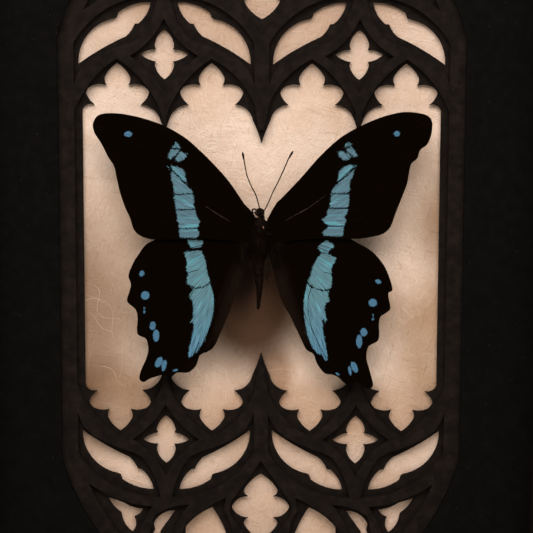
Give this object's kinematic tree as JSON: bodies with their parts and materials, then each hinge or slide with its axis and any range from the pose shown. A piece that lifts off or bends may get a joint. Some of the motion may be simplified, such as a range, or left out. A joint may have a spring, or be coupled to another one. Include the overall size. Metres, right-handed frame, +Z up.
{
  "type": "framed butterfly specimen",
  "caption": "Dried black swallowtail butterfly with a blue band, set over handmade paper in a double-ended Gothic tracery window, in a deep black shadow-box frame.",
  "frame": {"origin": "middle of the case's foot, on the surface it stands on, halfway between its front and the hardware on its back", "axes": "+X to the right seen from the front, +Y from the front to the back, +Z up"},
  "size_m": [0.175, 0.0322, 0.277],
  "materials": {
    "black_wood": "satin black stain",
    "black_card": "matt black card, laser cut",
    "handmade_paper": "matt cream handmade paper with loose fibres",
    "foam_board": "matt white",
    "hardboard": "smooth brown hardboard",
    "cork": "matt cork",
    "wing_scales": "velvety black scales with a pale blue band",
    "body_fur": "dark brown fur over horn",
    "antenna_horn": "dark horn",
    "zinc_steel": "zinc plated"
  },
  "bodies": {
    "root": {"rail_top": "black_wood", "rail_bottom": "black_wood", "rail_left": "black_wood", "rail_right": "black_wood", "spacer_left": "black_card", "spacer_right": "black_card", "spacer_top": "black_card", "spacer_bottom": "black_card", "window_panel": "black_card", "tracery_ribs": "black_card", "tracery_foils": "black_card", "paper_sheet": "handmade_paper", "foam_board": "foam_board", "back_board": "hardboard", "riser_block": "cork", "forewing_left": "wing_scales", "forewing_right": "wing_scales", "hindwing_left": "wing_scales", "hindwing_right": "wing_scales", "body": "body_fur", "antenna_left": "antenna_horn", "antenna_right": "antenna_horn", "button_left_upper": "zinc_steel", "button_left_lower": "zinc_steel", "button_right_upper": "zinc_steel", "button_right_lower": "zinc_steel", "screw_left_upper": "zinc_steel", "screw_left_lower": "zinc_steel", "screw_right_upper": "zinc_steel", "screw_right_lower": "zinc_steel", "sawtooth_hanger": "zinc_steel", "nail_left": "zinc_steel", "nail_right": "zinc_steel"}
  },
  "joints": []
}
